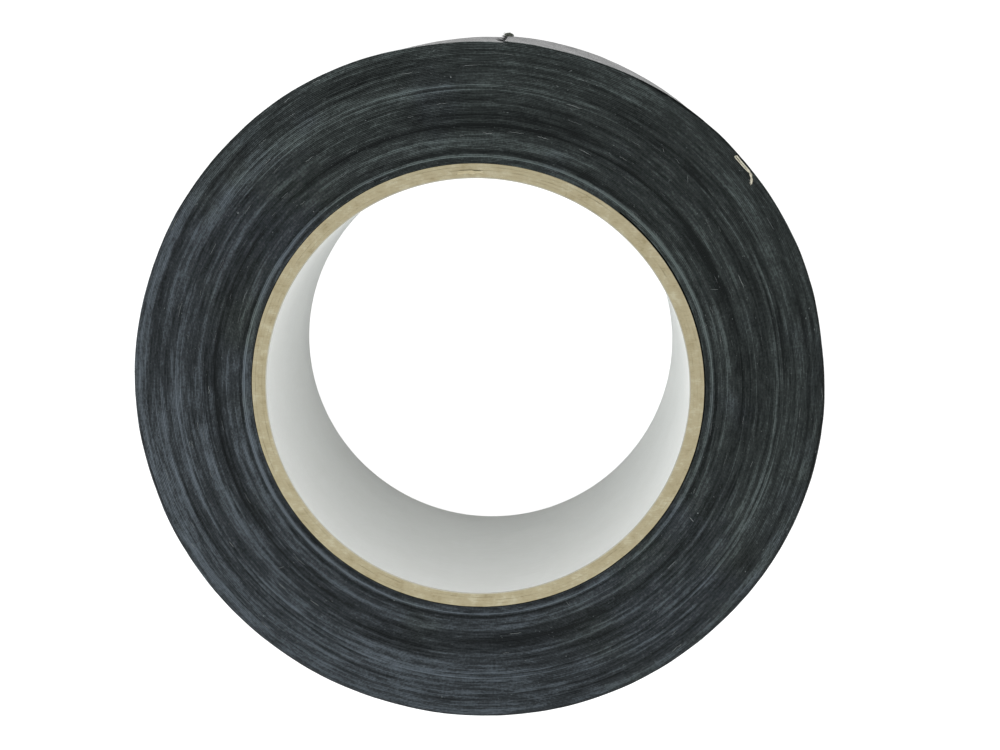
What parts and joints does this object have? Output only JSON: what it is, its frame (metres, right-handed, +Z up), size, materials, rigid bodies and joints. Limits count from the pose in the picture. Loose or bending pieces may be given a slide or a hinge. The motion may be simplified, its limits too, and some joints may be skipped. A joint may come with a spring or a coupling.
{
  "type": "grip tape roll",
  "caption": "Roll of black cloth grip tape wound on a white-lined kraft paper core, with a free end that peels off the rim.",
  "frame": {"origin": "centre of the bore's axis on the underside of the roll, which lies on its side", "axes": "+Z up the axis of the bore; the tape's free end lies on the rim towards +Y"},
  "size_m": [0.1235, 0.1244, 0.0506],
  "materials": {
    "liner_paper": "smooth white paper, slightly satin",
    "kraft_board": "pressed kraft paper, matt, fibrous at the cut edge",
    "black_cloth": "black coated cotton cloth, plain weave, low sheen",
    "black_yarn": "loose cotton yarn, matt",
    "tuft_fibre": "matted fibre and adhesive, dark grey-green",
    "cream_yarn": "loose cream cotton yarn, matt"
  },
  "bodies": {
    "roll": {"core_liner": "liner_paper", "core_ply_1": "kraft_board", "core_ply_2": "kraft_board", "core_ply_3": "kraft_board", "core_ply_4": "kraft_board", "tape_winding": "black_cloth", "loose_yarn": "cream_yarn"},
    "tape_end_1": {"tape_end_1": "black_cloth"},
    "tape_end_2": {"tape_end_2": "black_cloth"},
    "tape_end_3": {"tape_end_3": "black_cloth"},
    "tape_end_4": {"tape_end_4": "black_cloth", "frayed_yarns": "black_yarn", "end_tuft": "tuft_fibre"}
  },
  "joints": [
    {"name": "crease_1", "type": "hinge", "parent": "roll", "child": "tape_end_1", "pos_m": [0.03803, 0.04867, 0.025], "axis": [0, 0, -1], "range_deg": [0, 30]},
    {"name": "crease_2", "type": "hinge", "parent": "tape_end_1", "child": "tape_end_2", "pos_m": [0.03039, 0.05377, 0.025], "axis": [0, 0, -1], "range_deg": [0, 30]},
    {"name": "crease_3", "type": "hinge", "parent": "tape_end_2", "child": "tape_end_3", "pos_m": [0.02209, 0.05769, 0.025], "axis": [0, 0, -1], "range_deg": [0, 30]},
    {"name": "crease_4", "type": "hinge", "parent": "tape_end_3", "child": "tape_end_4", "pos_m": [0.01329, 0.06033, 0.025], "axis": [0, 0, -1], "range_deg": [0, 30]}
  ]
}
